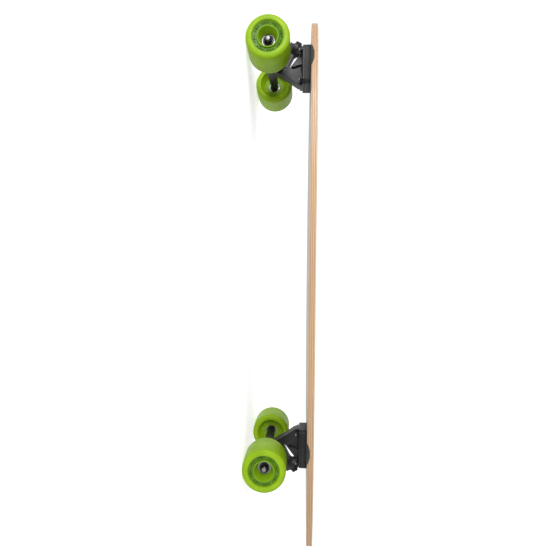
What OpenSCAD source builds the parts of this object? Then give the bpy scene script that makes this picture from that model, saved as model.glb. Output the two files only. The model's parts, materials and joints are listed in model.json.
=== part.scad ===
// Longboard skateboard: laminated deck, two reverse-kingpin trucks and four bearing wheels.
// Millimetres. +X runs to the nose, +Y to the rider's left, +Z up.
// The origin is on the ground under the middle of the deck's length and width.

/* [Deck] */
// Length of the deck from nose tip to tail tip
deck_length = 1000; // [980:1:1060]
// Greatest width of the deck
deck_width = 235; // [222:1:250]
// Height of the deck's underside over the ground, at the middle of its length
deck_height = 110; // [109:0.1:114]
// Number of veneers glued into the deck
ply_count = 7; // [7]
// Thickness of one veneer
ply_thickness = 1.6; // [1.5:0.05:1.9]
// Thickness of the grip tape
grip_thickness = 0.5; // [0.4:0.1:1.2]
// Height by which the nose and the tail rise over the middle
end_rise = 2.1; // [1:0.1:4]
// Depth of a wheel well where it leaves the deck's edge
well_depth = 3.8; // [3:0.1:5]

/* [Trucks] */
// Distance between the two axles
wheelbase = 728; // [700:1:740]
// Distance from the front axle to the nose tip
nose_overhang = 74; // [70:0.5:100]
// Height of the baseplate's top over the axle
truck_height = 62.6; // [62.6:0.1:64]
// Angle of the steering axis to the deck
steer_angle = 30; // [30]
// Width of the hanger, end to end
hanger_width = 150; // [146:1:152]

/* [Wheels] */
// Radius of a wheel
wheel_radius = 37.5; // [36:0.5:38]
// Width of a wheel
wheel_width = 58; // [54:1:60]
// Radius of the rounding between tread and face
lip_radius = 6; // [4:0.5:8]

/* [Hidden] */
$fn = 96;

// Small gaps that keep neighbours apart
slip = 0.02;
cut = 1;

// Deck plan
nose_tip = deck_length / 2;
nose_reach = 313;
nose_power = 2.4;
tail_reach = 448;
tail_power = 1.8;
tail_sharpness = 0.8;
outline_steps = 22;
strips = 8;
deck_thickness = ply_count * ply_thickness;
half_width = deck_width / 2;

// Axles and trucks. Truck coordinates start at the axle: X outward, Z up.
front_x = nose_tip - nose_overhang;
rear_x = front_x - wheelbase;
bolt_span = 54;
bolt_gauge = 41.3;
bolt_shift = -0.5;
bolt_r = 2.4;
bolt_hole_r = 2.7;
bolt_head_r = 4.6;
bolt_head_h = 2.8;
bolt_head_hole_r = 5.5;
slot_length = 4.8;
slot_width = 1;
slot_depth = 1.4;
bolt_tail = 2;
flange_length = 73;
flange_width = 54;
flange_corner = 8;
flange_thickness = 3.6;
flange_shift = -0.5;
flange_under = truck_height - flange_thickness;
mount_nut_r = 5.2;
mount_nut_h = 5;

// Kingpin frame: origin at the middle of the hanger's ring, X along the steering axis, Z to the deck
ring_x = 37;
ring_z = 46;
ring_r = 15;
ring_half = 4.5;
ring_bore_r = 7.5;
seat_recess = 1;
boardside_bushing_r = 12.5;
boardside_tip_r = 10;
roadside_bushing_r = 10;
roadside_tip_r = 7.5;
bushing_bore_r = 4.95;
seat_gap = 0.3;
seat_cut = 12;
boardside_top = 12;
washer_t = 1.2;
seat_z = boardside_top + washer_t;
roadside_end = -13;
boardside_washer_r = 10.3;
roadside_washer_r = 8.6;
washer_gap = 0.2;
flange_gap = 0.4;
boss_r = 12;
boss_h = 14;
head_gap = 0.6;
head_pocket = 20;
kingpin_r = 4.75;
kingpin_head_z = 18;
kingpin_head_h = 4;
kingpin_head_r = 7.6;
kingpin_end = -24;
kingpin_nut_r = 8;
kingpin_nut_h = 7;

// Pivot, measured along the steering axis from the ring
cup_mouth = -44;
cup_end = -55.2;
nose_end = -54;
nose_r = 4.8;
cup_slip = 0.08;
cup_bore_r = nose_r + cup_slip;
cup_floor_gap = 0.1;
neck_overlap = 2;
cup_r = 6.3;
housing_end = -58;
housing_r = 8.8;

// Axle line, measured from the middle of the board
bearing_r = 11;
bearing_w = 7;
spacer_w = 10;
axle_r = 4;
spacer_r = 5.2;
washer_w = 1;
washer_r = 6;
axle_nut_w = 7;
axle_tail = 2;
axle_nut_r = 6.9;
hanger_end = hanger_width / 2;
bearing_start = hanger_end + washer_w;
core_w = 2 * bearing_w + spacer_w;
wheel_y = bearing_start + core_w / 2;
spacer_start = bearing_start + bearing_w;
wheel_stop = bearing_start + core_w;
axle_end = wheel_stop + washer_w + axle_nut_w + axle_tail;
tube_r = 10;
tube_end_r = 7;
tube_waist = 18;

// Bearing
ball_r = 1.95;
ball_pitch_r = 7.5;
ball_count = 7;
groove_r = 2.02;
inner_ring_r = 6.1;
outer_ring_inner_r = 8.9;
shield_t = 0.5;
shield_r = 6.4;

// Wheel section, measured from the middle of the wheel
half_wheel = wheel_width / 2;
core_r = 18.5;
core_inner = 15;
core_outer = half_wheel - 1.5;
funnel_start = 14;
funnel_start_r = 11.8;
funnel_end_r = 16.8;
funnel_depth = core_outer - funnel_start + slip;
recess_r = 27.3;
recess_floor_r = 26;
recess_depth = 3.2;
recess_slope = 0.8;
cup_depth = 4;

// Truck coordinates of a point in the kingpin frame
function kingpin_point(x, z) = [
    ring_x + x * cos(steer_angle) - z * sin(steer_angle),
    ring_z + x * sin(steer_angle) + z * cos(steer_angle)
];

// ---- Placement ----

module at_truck(front) {
    translate([front ? front_x : rear_x, 0, wheel_radius])
        mirror([front ? 0 : 1, 0, 0])
            children();
}

module at_kingpin() {
    translate([ring_x, 0, ring_z])
        rotate([0, -steer_angle, 0])
            children();
}

// A solid of revolution about the steering axis, from one distance to another
module on_steering_axis(from, to, r1, r2) {
    translate([from, 0, 0])
        rotate([0, 90, 0])
            cylinder(h = to - from, r1 = r1, r2 = r2);
}

// A cylinder along Y from one distance to another
module on_axle(from, to, r) {
    translate([0, from, 0])
        rotate([-90, 0, 0])
            cylinder(h = to - from, r = r);
}

module both_sides() {
    children();
    mirror([0, 1, 0])
        children();
}

module at_bolts() {
    for (x = [-1, 1], y = [-1, 1])
        translate([bolt_shift + x * bolt_span / 2, y * bolt_gauge / 2, 0])
            children();
}

module rounded_plate(length, width, corner, thickness) {
    linear_extrude(thickness) {
        square([length - 2 * corner, width], center = true);
        square([length, width - 2 * corner], center = true);
        for (x = [-1, 1], y = [-1, 1])
            translate([x * (length / 2 - corner), y * (width / 2 - corner)])
                circle(corner);
    }
}

// ---- Deck ----

function nose_half(u) = half_width * pow(1 - pow(u, nose_power), 1 / nose_power);
function tail_half(u) = half_width * pow(1 - pow(u, tail_power), tail_sharpness);

nose_edge = [
    for (i = [0:outline_steps])
        let (u = sin(90 * i / outline_steps))
            [nose_tip - nose_reach * (1 - u), i < outline_steps ? nose_half(u) : 0]
];
tail_edge = [
    for (i = [0:outline_steps])
        let (u = sin(90 * i / outline_steps))
            [tail_reach * (1 - u) - nose_tip, i < outline_steps ? tail_half(u) : 0]
];
left_edge = concat(
    [for (i = [outline_steps:-1:0]) tail_edge[i]],
    nose_edge
);
right_edge = [for (i = [len(left_edge) - 2:-1:1]) [left_edge[i][0], -left_edge[i][1]]];

module deck_plan() {
    linear_extrude(2 * deck_height)
        polygon(concat(left_edge, right_edge));
}

// Height of the underside over its middle, at a distance from the middle
function rise(x) = end_rise * pow(x / nose_tip, 2);

// Stations along the board, where its eight flat strips meet
stations = [for (i = [-strips / 2:strips / 2]) i * deck_length / strips];

// The slightly bowed layer between two heights over the underside, wider than the deck
module bowed_layer(low, high) {
    rotate([90, 0, 0])
        linear_extrude(2 * deck_width, center = true)
            polygon(concat(
                [for (x = stations) [x, deck_height + rise(x) + low]],
                [for (i = [strips:-1:0]) [stations[i], deck_height + rise(stations[i]) + high]]
            ));
}

module deck_layer(low, high) {
    intersection() {
        deck_plan();
        bowed_layer(low, high);
    }
}

// Underside height over the axle at a truck
deck_over_truck = deck_height - wheel_radius + rise(front_x);
deck_top_at_truck = deck_over_truck + deck_thickness;

module bolt_clearance(r) {
    for (front = [true, false])
        at_truck(front)
            at_bolts()
                translate([0, 0, truck_height])
                    cylinder(h = 4 * deck_thickness, r = r);
}

module bolt_countersinks() {
    for (front = [true, false])
        at_truck(front)
            at_bolts()
                translate([0, 0, deck_top_at_truck - bolt_head_h])
                    cylinder(h = bolt_head_h + cut, r1 = bolt_hole_r, r2 = bolt_head_hole_r);
}

// The wells are ground with a drum that leans outward
well_r = 46;
well_inboard = 18;
well_edge = 86;
well_tilt = 7;
well_reach = 70;
well_plies = 3;

module wheel_wells() {
    for (front = [true, false])
        at_truck(front)
            both_sides()
                translate([-well_inboard, well_edge, deck_over_truck + well_depth - well_r])
                    rotate([well_tilt, 0, 0])
                        rotate([90, 0, 0])
                            cylinder(h = 2 * well_reach, r = well_r, center = true);
}

module deck_ply(i) {
    color(i % 2 == 0 ? "burlywood" : "tan")
        difference() {
            deck_layer((i - 1) * ply_thickness, i * ply_thickness);
            bolt_clearance(bolt_hole_r);
            if (i <= well_plies)
                wheel_wells();
            if (i >= ply_count - 1)
                bolt_countersinks();
        }
}

module grip_tape() {
    color("dimgray")
        difference() {
            deck_layer(deck_thickness, deck_thickness + grip_thickness);
            bolt_clearance(bolt_head_hole_r);
        }
}

// ---- Truck, parts fixed to the deck ----

window_length = 30;
window_width = 22;
window_x = 24;

module riser_pad(front) {
    color("darkslategray")
        difference() {
            at_truck(front)
                difference() {
                    translate([flange_shift, 0, truck_height])
                        rounded_plate(flange_length, flange_width, flange_corner, 2 * deck_thickness);
                    at_bolts()
                        translate([0, 0, truck_height - cut])
                            cylinder(h = 3 * deck_thickness, r = bolt_hole_r);
                    translate([window_x, 0, truck_height])
                        cube([window_length, window_width, 5 * deck_thickness], center = true);
                }
            bowed_layer(0, 3 * deck_thickness);
        }
}

tower_half = 11;
arm_half = 7.5;
tower_side = [
    kingpin_point(6, seat_z),
    kingpin_point(-11, seat_z),
    kingpin_point(cup_mouth, housing_r),
    kingpin_point(cup_mouth, 0),
    kingpin_point(housing_end, 0),
    kingpin_point(housing_end, housing_r),
    [-24, 36],
    [-34, 50],
    [-36, flange_under + cut]
];
pocket_side = [[-12, flange_under - 2], [4, flange_under - 2], [-2, 36]];
pocket_depth = 5;

module baseplate(front) {
    color("black")
        at_truck(front)
            difference() {
                union() {
                    translate([flange_shift, 0, flange_under])
                        rounded_plate(flange_length, flange_width, flange_corner, flange_thickness);
                    rotate([90, 0, 0])
                        linear_extrude(2 * tower_half, center = true)
                            polygon(tower_side);
                    at_kingpin() {
                        translate([0, 0, seat_z])
                            cylinder(h = boss_h, r = boss_r);
                        on_steering_axis(housing_end, cup_mouth, housing_r, housing_r);
                    }
                }
                both_sides()
                    translate([0, tower_half - pocket_depth, 0])
                        rotate([90, 0, 0])
                            mirror([0, 0, 1])
                                linear_extrude(pocket_depth + cut)
                                    polygon(pocket_side);
                at_kingpin() {
                    translate([0, 0, -seat_z])
                        cylinder(h = 2 * seat_z, r = boardside_washer_r + flange_gap);
                    cylinder(h = 2 * seat_z, r = kingpin_r + slip);
                    translate([0, 0, kingpin_head_z])
                        cylinder(h = head_pocket, r = kingpin_head_r + head_gap);
                    on_steering_axis(cup_end - slip, cup_mouth + cut, cup_r + slip, cup_r + slip);
                }
                at_bolts()
                    translate([0, 0, flange_under - cut])
                        cylinder(h = flange_thickness + 2 * cut, r = bolt_hole_r);
                translate([-flange_length, -flange_width, truck_height])
                    cube([2 * flange_length, 2 * flange_width, 2 * boss_h]);
            }
}

module pivot_cup(front) {
    color("dimgray")
        at_truck(front)
            at_kingpin()
                difference() {
                    on_steering_axis(cup_end, cup_mouth, cup_r, cup_r);
                    on_steering_axis(nose_end - cup_floor_gap, cup_mouth + cut, cup_bore_r, cup_bore_r);
                }
}

module kingpin(front) {
    color("silver")
        at_truck(front)
            at_kingpin() {
                translate([0, 0, kingpin_end])
                    cylinder(h = kingpin_head_z - kingpin_end, r = kingpin_r);
                translate([0, 0, kingpin_head_z])
                    cylinder(h = kingpin_head_h, r = kingpin_head_r, $fn = 6);
            }
}

module kingpin_nut(front) {
    color("silver")
        at_truck(front)
            at_kingpin()
                difference() {
                    translate([0, 0, roadside_end - washer_t - kingpin_nut_h])
                        cylinder(h = kingpin_nut_h, r = kingpin_nut_r, $fn = 6);
                    translate([0, 0, kingpin_end - cut])
                        cylinder(h = 3 * kingpin_nut_h, r = kingpin_r + slip);
                }
}

module boardside_bushing(front) {
    color("gainsboro")
        at_truck(front)
            at_kingpin()
                difference() {
                    translate([0, 0, ring_half - seat_recess])
                        cylinder(
                            h = boardside_top - ring_half + seat_recess,
                            r1 = boardside_bushing_r,
                            r2 = boardside_tip_r
                        );
                    cylinder(h = 2 * boardside_top, r = bushing_bore_r);
                }
}

module roadside_bushing(front) {
    color("gainsboro")
        at_truck(front)
            at_kingpin()
                difference() {
                    translate([0, 0, roadside_end])
                        cylinder(
                            h = seat_recess - ring_half - roadside_end,
                            r1 = roadside_tip_r,
                            r2 = roadside_bushing_r
                        );
                    translate([0, 0, roadside_end - cut])
                        cylinder(h = 2 * boardside_top, r = bushing_bore_r);
                }
}

module kingpin_washer(front, low, r) {
    color("silver")
        at_truck(front)
            at_kingpin()
                translate([0, 0, low])
                    difference() {
                        cylinder(h = washer_t, r = r);
                        translate([0, 0, -cut])
                            cylinder(h = washer_t + 2 * cut, r = kingpin_r + washer_gap);
                    }
}

module boardside_washer(front) {
    kingpin_washer(front, boardside_top, boardside_washer_r);
}

module roadside_washer(front) {
    kingpin_washer(front, roadside_end - washer_t, roadside_washer_r);
}

bolt_end = flange_under - mount_nut_h - bolt_tail;

module mount_bolts(front) {
    color("silver")
        at_truck(front)
            at_bolts()
                difference() {
                    union() {
                        translate([0, 0, bolt_end])
                            cylinder(h = deck_top_at_truck - bolt_end, r = bolt_r);
                        translate([0, 0, deck_top_at_truck - bolt_head_h])
                            cylinder(h = bolt_head_h, r1 = bolt_r, r2 = bolt_head_r);
                    }
                    for (turn = [0, 90])
                        rotate([0, 0, turn])
                            translate([-slot_length / 2, -slot_width / 2, deck_top_at_truck - slot_depth])
                                cube([slot_length, slot_width, 2 * slot_depth]);
                }
}

module mount_nuts(front) {
    color("silver")
        at_truck(front)
            at_bolts()
                translate([0, 0, flange_under - mount_nut_h])
                    difference() {
                        cylinder(h = mount_nut_h, r = mount_nut_r, $fn = 6);
                        translate([0, 0, -cut])
                            cylinder(h = mount_nut_h + 2 * cut, r = bolt_r + slip);
                    }
}

// ---- Truck, parts that steer ----

wing_angle = 51;
wing_reach = 24;
wing_half = 50;
wing_thickness = 8;
arm_start = cup_mouth + 1.5;
arm_inset = 0.7;
wing_root = arm_half - 1;
arm_side = [
    kingpin_point(-12, ring_half - arm_inset),
    kingpin_point(arm_start, 5.2),
    kingpin_point(arm_start, -10.2),
    [-6, 7],
    [0, 0],
    [9, 3],
    [18, 17],
    kingpin_point(-11, arm_inset - ring_half)
];

module hanger(front) {
    color("black")
        at_truck(front)
            difference() {
                union() {
                    on_axle(-tube_waist, tube_waist, tube_r);
                    both_sides()
                        translate([0, tube_waist, 0])
                            rotate([-90, 0, 0])
                                cylinder(h = hanger_end - tube_waist, r1 = tube_r, r2 = tube_end_r);
                    rotate([90, 0, 0])
                        linear_extrude(2 * arm_half, center = true)
                            polygon(arm_side);
                    rotate([0, -wing_angle, 0])
                        translate([0, 0, -wing_thickness / 2])
                            linear_extrude(wing_thickness)
                                polygon([
                                    [0, -wing_half],
                                    [wing_reach, -wing_root],
                                    [wing_reach, wing_root],
                                    [0, wing_half]
                                ]);
                    at_kingpin() {
                        translate([0, 0, -ring_half])
                            cylinder(h = 2 * ring_half, r = ring_r);
                        on_steering_axis(nose_end, cup_mouth + neck_overlap, nose_r, nose_r);
                    }
                }
                on_axle(-hanger_end - cut, hanger_end + cut, axle_r + slip);
                at_kingpin() {
                    translate([0, 0, -ring_r])
                        cylinder(h = 2 * ring_r, r = ring_bore_r);
                    translate([0, 0, ring_half - seat_recess])
                        cylinder(h = seat_cut, r = boardside_bushing_r + seat_gap);
                    translate([0, 0, seat_recess - ring_half - seat_cut])
                        cylinder(h = seat_cut, r = roadside_bushing_r + seat_gap);
                }
            }
}

module axle(front) {
    color("silver")
        at_truck(front)
            on_axle(-axle_end, axle_end, axle_r);
}

// A ring about the axle on both sides of the board
module axle_rings(front, from, to, r, bore, sides) {
    at_truck(front)
        both_sides()
            difference() {
                translate([0, from, 0])
                    rotate([-90, 0, 0])
                        cylinder(h = to - from, r = r, $fn = sides);
                on_axle(from - cut, to + cut, bore);
            }
}

module speed_washers(front) {
    color("silver") {
        axle_rings(front, hanger_end, bearing_start, washer_r, axle_r + slip, $fn);
        axle_rings(front, wheel_stop, wheel_stop + washer_w, washer_r, axle_r + slip, $fn);
    }
}

module axle_nuts(front) {
    color("dimgray")
        axle_rings(front, wheel_stop + washer_w, axle_end - axle_tail, axle_nut_r, axle_r + slip, 6);
}

module bearing_spacers(front) {
    color("silver")
        axle_rings(front, spacer_start, spacer_start + spacer_w, spacer_r, axle_r + slip, $fn);
}

// ---- Bearings ----

// Middles of the two bearings of a wheel, from the wheel's middle
bearing_middles = [-(spacer_w + bearing_w) / 2, (spacer_w + bearing_w) / 2];

module ball_groove() {
    rotate([-90, 0, 0])
        rotate_extrude()
            translate([ball_pitch_r, 0])
                circle(groove_r, $fn = 48);
}

module bearing_inner_rings(front) {
    color("silver")
        at_truck(front)
            both_sides()
                for (y = bearing_middles)
                    translate([0, wheel_y + y, 0])
                        difference() {
                            on_axle(-bearing_w / 2, bearing_w / 2, inner_ring_r);
                            on_axle(-bearing_w, bearing_w, axle_r + slip);
                            ball_groove();
                        }
}

module at_wheel(front, left) {
    translate([front ? front_x : rear_x, 0, wheel_radius])
        mirror([0, left ? 0 : 1, 0])
            translate([0, wheel_y, 0])
                children();
}

module bearing_outer_rings(front, left) {
    color("lightgray")
        at_wheel(front, left)
            for (y = bearing_middles)
                translate([0, y, 0])
                    difference() {
                        on_axle(-bearing_w / 2, bearing_w / 2, bearing_r);
                        on_axle(shield_t - bearing_w / 2, bearing_w / 2 - shield_t, outer_ring_inner_r);
                        on_axle(-bearing_w, bearing_w, shield_r);
                        ball_groove();
                    }
}

module bearing_balls(front, left) {
    color("silver")
        at_wheel(front, left)
            for (y = bearing_middles, i = [0:ball_count - 1])
                translate([0, y, 0])
                    rotate([0, i * 360 / ball_count, 0])
                        translate([ball_pitch_r, 0, 0])
                            sphere(ball_r, $fn = 48);
}

// ---- Wheels ----

module tyre_section() {
    difference() {
        union() {
            translate([core_r + slip, -half_wheel + lip_radius])
                square([wheel_radius - core_r - slip, wheel_width - 2 * lip_radius]);
            translate([core_r + slip, -half_wheel])
                square([wheel_radius - core_r - slip - lip_radius, wheel_width]);
            for (side = [-1, 1])
                translate([wheel_radius - lip_radius, side * (half_wheel - lip_radius)])
                    circle(lip_radius);
        }
        polygon([
            [recess_r, half_wheel + cut],
            [recess_r, half_wheel],
            [recess_floor_r, half_wheel - recess_depth],
            [core_r - cut, half_wheel - recess_depth - recess_slope],
            [core_r - cut, half_wheel + cut]
        ]);
        polygon([
            [recess_r, -half_wheel - cut],
            [recess_r, -half_wheel],
            [recess_floor_r, cup_depth - half_wheel],
            [core_r + cut, -core_inner - cut],
            [core_r + cut, -core_inner],
            [core_r - cut, -core_inner],
            [core_r - cut, -half_wheel - cut]
        ]);
    }
}

module tyre(front, left) {
    color("yellowgreen")
        at_wheel(front, left)
            rotate([-90, 0, 0])
                rotate_extrude($fn = 128)
                    tyre_section();
}

module core(front, left) {
    color("olivedrab")
        at_wheel(front, left)
            difference() {
                on_axle(-core_inner, core_outer, core_r);
                on_axle(-core_inner - cut, core_outer + cut, bearing_r - cut);
                on_axle(spacer_w / 2, core_outer + cut, bearing_r + slip);
                on_axle(-core_inner - cut, -spacer_w / 2, bearing_r + slip);
                translate([0, funnel_start, 0])
                    rotate([-90, 0, 0])
                        cylinder(h = funnel_depth, r1 = funnel_start_r, r2 = funnel_end_r);
            }
}

// ---- Nodes ----

deck_ply(1);  // deck_ply_1
deck_ply(2);  // deck_ply_2
deck_ply(3);  // deck_ply_3
deck_ply(4);  // deck_ply_4
deck_ply(5);  // deck_ply_5
deck_ply(6);  // deck_ply_6
deck_ply(7);  // deck_ply_7
grip_tape();
riser_pad(true);  // front_riser_pad
baseplate(true);  // front_baseplate
pivot_cup(true);  // front_pivot_cup
kingpin(true);  // front_kingpin
kingpin_nut(true);  // front_kingpin_nut
boardside_bushing(true);  // front_boardside_bushing
roadside_bushing(true);  // front_roadside_bushing
boardside_washer(true);  // front_boardside_washer
roadside_washer(true);  // front_roadside_washer
mount_bolts(true);  // front_mount_bolts
mount_nuts(true);  // front_mount_nuts
riser_pad(false);  // rear_riser_pad
baseplate(false);  // rear_baseplate
pivot_cup(false);  // rear_pivot_cup
kingpin(false);  // rear_kingpin
kingpin_nut(false);  // rear_kingpin_nut
boardside_bushing(false);  // rear_boardside_bushing
roadside_bushing(false);  // rear_roadside_bushing
boardside_washer(false);  // rear_boardside_washer
roadside_washer(false);  // rear_roadside_washer
mount_bolts(false);  // rear_mount_bolts
mount_nuts(false);  // rear_mount_nuts
hanger(true);  // front_hanger
axle(true);  // front_axle
axle_nuts(true);  // front_axle_nuts
speed_washers(true);  // front_speed_washers
bearing_spacers(true);  // front_bearing_spacers
bearing_inner_rings(true);  // front_bearing_inner_rings
hanger(false);  // rear_hanger
axle(false);  // rear_axle
axle_nuts(false);  // rear_axle_nuts
speed_washers(false);  // rear_speed_washers
bearing_spacers(false);  // rear_bearing_spacers
bearing_inner_rings(false);  // rear_bearing_inner_rings
tyre(true, true);  // front_left_tyre
core(true, true);  // front_left_core
bearing_outer_rings(true, true);  // front_left_bearing_outer_rings
bearing_balls(true, true);  // front_left_bearing_balls
tyre(true, false);  // front_right_tyre
core(true, false);  // front_right_core
bearing_outer_rings(true, false);  // front_right_bearing_outer_rings
bearing_balls(true, false);  // front_right_bearing_balls
tyre(false, true);  // rear_left_tyre
core(false, true);  // rear_left_core
bearing_outer_rings(false, true);  // rear_left_bearing_outer_rings
bearing_balls(false, true);  // rear_left_bearing_balls
tyre(false, false);  // rear_right_tyre
core(false, false);  // rear_right_core
bearing_outer_rings(false, false);  // rear_right_bearing_outer_rings
bearing_balls(false, false);  // rear_right_bearing_balls
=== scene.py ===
# Looks of the longboard skateboard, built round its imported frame.
# Metres, in the part's frame: +X to the nose, +Y to the rider's left, +Z up.
import json
import math

import bmesh
import bpy
from mathutils import Euler, Matrix, Vector


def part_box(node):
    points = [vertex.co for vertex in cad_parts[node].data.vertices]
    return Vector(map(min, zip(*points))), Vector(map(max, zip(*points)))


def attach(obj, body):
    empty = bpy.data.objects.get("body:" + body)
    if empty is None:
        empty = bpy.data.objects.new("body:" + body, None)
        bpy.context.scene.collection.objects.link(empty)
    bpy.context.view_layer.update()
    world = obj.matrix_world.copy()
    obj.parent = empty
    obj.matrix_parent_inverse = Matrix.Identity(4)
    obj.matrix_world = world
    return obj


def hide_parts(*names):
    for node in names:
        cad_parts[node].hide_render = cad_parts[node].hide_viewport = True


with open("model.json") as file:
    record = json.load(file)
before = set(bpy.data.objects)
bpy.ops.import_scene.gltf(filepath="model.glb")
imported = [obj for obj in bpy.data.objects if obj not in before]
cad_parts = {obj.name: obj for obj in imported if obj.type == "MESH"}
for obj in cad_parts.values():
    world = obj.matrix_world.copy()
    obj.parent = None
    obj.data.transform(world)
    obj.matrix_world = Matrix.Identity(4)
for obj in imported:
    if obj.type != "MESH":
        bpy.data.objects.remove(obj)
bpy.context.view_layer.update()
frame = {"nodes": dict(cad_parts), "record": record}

MM = 0.001
ENDS = ("front", "rear")
SIDES = ("left", "right")
JOINTS = {j["name"]: j for j in frame["record"]["behaviour"]["joints"]}


# ---- Measures taken from the frame ----

def middle(node):
    low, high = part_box(node)
    return (low + high) / 2


def extent(node):
    low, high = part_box(node)
    return high - low


DECK_LOW, DECK_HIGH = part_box("deck_ply_4")
HALF_LENGTH = (DECK_HIGH.x - DECK_LOW.x) / 2
HALF_WIDTH = (DECK_HIGH.y - DECK_LOW.y) / 2
PLY_COUNT = 7
PLY = 1.6 * MM
GRIP = 0.5 * MM
DECK_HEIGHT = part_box("deck_ply_1")[0].z
END_RISE = 2.1 * MM
NOSE_REACH = 313 * MM
TAIL_REACH = 448 * MM
WHEEL_R = extent("front_left_tyre").z / 2
HALF_WHEEL = extent("front_left_tyre").y / 2
AXLE_R = 4 * MM


# ---- Material nodes ----

class Nodes:
    """A material and short ways to add nodes to it."""

    def __init__(self, name):
        self.material = bpy.data.materials.new(name)
        self.material.use_nodes = True
        self.tree = self.material.node_tree
        self.shader = self.tree.nodes["Principled BSDF"]
        self.place = self.tree.nodes.new("ShaderNodeTexCoord").outputs["Object"]

    def link(self, a, b):
        self.tree.links.new(a, b)

    def stretched(self, scale, turn=(0, 0, 0)):
        mapping = self.tree.nodes.new("ShaderNodeMapping")
        mapping.inputs["Scale"].default_value = scale
        mapping.inputs["Rotation"].default_value = turn
        self.link(self.place, mapping.inputs["Vector"])
        return mapping.outputs["Vector"]

    def noise(self, scale, detail=4.0, rough=0.55, vector=None, distortion=0.0):
        n = self.tree.nodes.new("ShaderNodeTexNoise")
        n.inputs["Scale"].default_value = scale
        n.inputs["Detail"].default_value = detail
        n.inputs["Roughness"].default_value = rough
        n.inputs["Distortion"].default_value = distortion
        self.link(vector or self.place, n.inputs["Vector"])
        return n.outputs["Fac"]

    def cells(self, scale):
        n = self.tree.nodes.new("ShaderNodeTexVoronoi")
        n.inputs["Scale"].default_value = scale
        self.link(self.place, n.inputs["Vector"])
        return n.outputs["Distance"]

    def ramp(self, value, *stops):
        """A colour ramp; stops are (position, grey or colour)"""
        r = self.tree.nodes.new("ShaderNodeValToRGB")
        while len(r.color_ramp.elements) < len(stops):
            r.color_ramp.elements.new(0.5)
        for e, (at, tone) in zip(r.color_ramp.elements, stops):
            e.position = at
            colour = (tone,) * 3 if isinstance(tone, (int, float)) else tone
            e.color = (*colour, 1)
        self.link(value, r.inputs["Fac"])
        return r.outputs["Color"]

    def mix(self, amount, a, b):
        """Colour a turning into b as the amount rises; each is a colour or a socket"""
        m = self.tree.nodes.new("ShaderNodeMix")
        m.data_type = "RGBA"
        for value, i in ((amount, 0), (a, 6), (b, 7)):
            if isinstance(value, bpy.types.NodeSocket):
                self.link(value, m.inputs[i])
            elif i:
                m.inputs[i].default_value = (*value, 1)
            else:
                m.inputs[i].default_value = value
        return m.outputs[2]

    def add(self, a, b, share):
        """a plus a share of b"""
        m = self.tree.nodes.new("ShaderNodeMath")
        m.operation = "MULTIPLY_ADD"
        self.link(b, m.inputs[0])
        m.inputs[1].default_value = share
        self.link(a, m.inputs[2])
        return m.outputs[0]

    def colour(self, socket):
        self.link(socket, self.shader.inputs["Base Color"])

    def roughness(self, value, low, high):
        """Roughness from low to high as value goes from 0.3 to 0.7"""
        spread = self.ramp(value, (0.3, low), (0.7, high))
        self.link(spread, self.shader.inputs["Roughness"])

    def bump(self, height, distance, strength=1.0):
        b = self.tree.nodes.new("ShaderNodeBump")
        b.inputs["Distance"].default_value = distance
        b.inputs["Strength"].default_value = strength
        self.link(height, b.inputs["Height"])
        self.link(b.outputs["Normal"], self.shader.inputs["Normal"])

    def worn_edges(self):
        """0 on flats, 1 on outer edges"""
        g = self.tree.nodes.new("ShaderNodeNewGeometry")
        return self.ramp(g.outputs["Pointiness"], (0.52, 0.0), (0.6, 1.0))

    def set(self, **values):
        for key, value in values.items():
            self.shader.inputs[key.replace("_", " ")].default_value = value
        return self


# ---- Materials ----

def tint(colour, by):
    return tuple(min(1.0, max(0.0, c * by)) for c in colour)


def wood_material(name, pale, dark):
    """Veneer: long fibres, pores and slow changes of tone"""
    m = Nodes(name)
    fibres = m.noise(1.0, 6, 0.62, m.stretched((9, 260, 900)), 0.4)
    pores = m.noise(1.0, 3, 0.7, m.stretched((60, 900, 2200)))
    clouds = m.noise(7.0, 2, 0.5)
    base = m.mix(m.ramp(fibres, (0.32, 0.0), (0.7, 1.0)), pale, dark)
    spotted = m.mix(m.ramp(pores, (0.56, 0.0), (0.74, 0.5)), base, tint(dark, 0.62))
    m.colour(m.mix(m.ramp(clouds, (0.35, 0.0), (0.75, 0.35)), spotted, tint(dark, 0.9)))
    m.roughness(fibres, 0.34, 0.52)
    m.bump(m.add(fibres, pores, 0.6), 0.00012, 0.6)
    return m.set(Specular_IOR_Level=0.35, Coat_Weight=0.08, Coat_Roughness=0.3).material


def underside_material():
    """Grey lacquer over the lowest veneer, with faint grain and scuffs"""
    pale, dark, scuffed = (0.135, 0.128, 0.112), (0.105, 0.1, 0.087), (0.165, 0.158, 0.14)
    m = Nodes("underside_lacquer")
    grain = m.noise(1.0, 6, 0.6, m.stretched((7, 190, 190)), 0.5)
    scuffs = m.noise(1.0, 8, 0.75, m.stretched((14, 55, 55), (0, 0, 0.5)), 1.2)
    base = m.mix(m.ramp(grain, (0.35, 0.0), (0.7, 1.0)), pale, dark)
    m.colour(m.mix(m.ramp(scuffs, (0.62, 0.0), (0.7, 0.4)), base, scuffed))
    m.roughness(scuffs, 0.26, 0.5)
    m.bump(m.add(grain, scuffs, 0.5), 0.00008, 0.5)
    return m.set(Specular_IOR_Level=0.3, Coat_Weight=0.1, Coat_Roughness=0.25).material


def well_material():
    """Near-black, blue-green wood on the faces where the wheel wells are ground in"""
    pale, dark = (0.035, 0.055, 0.052), (0.016, 0.024, 0.024)
    m = Nodes("well_dark")
    fibres = m.noise(1.0, 6, 0.6, m.stretched((12, 220, 700)), 0.3)
    marks = m.noise(1.0, 3, 0.6, m.stretched((500, 30, 30)))
    m.colour(m.mix(m.ramp(fibres, (0.3, 0.0), (0.7, 1.0)), pale, dark))
    m.roughness(marks, 0.45, 0.7)
    m.bump(m.add(fibres, marks, 0.8), 0.0001, 0.6)
    return m.material


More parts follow.
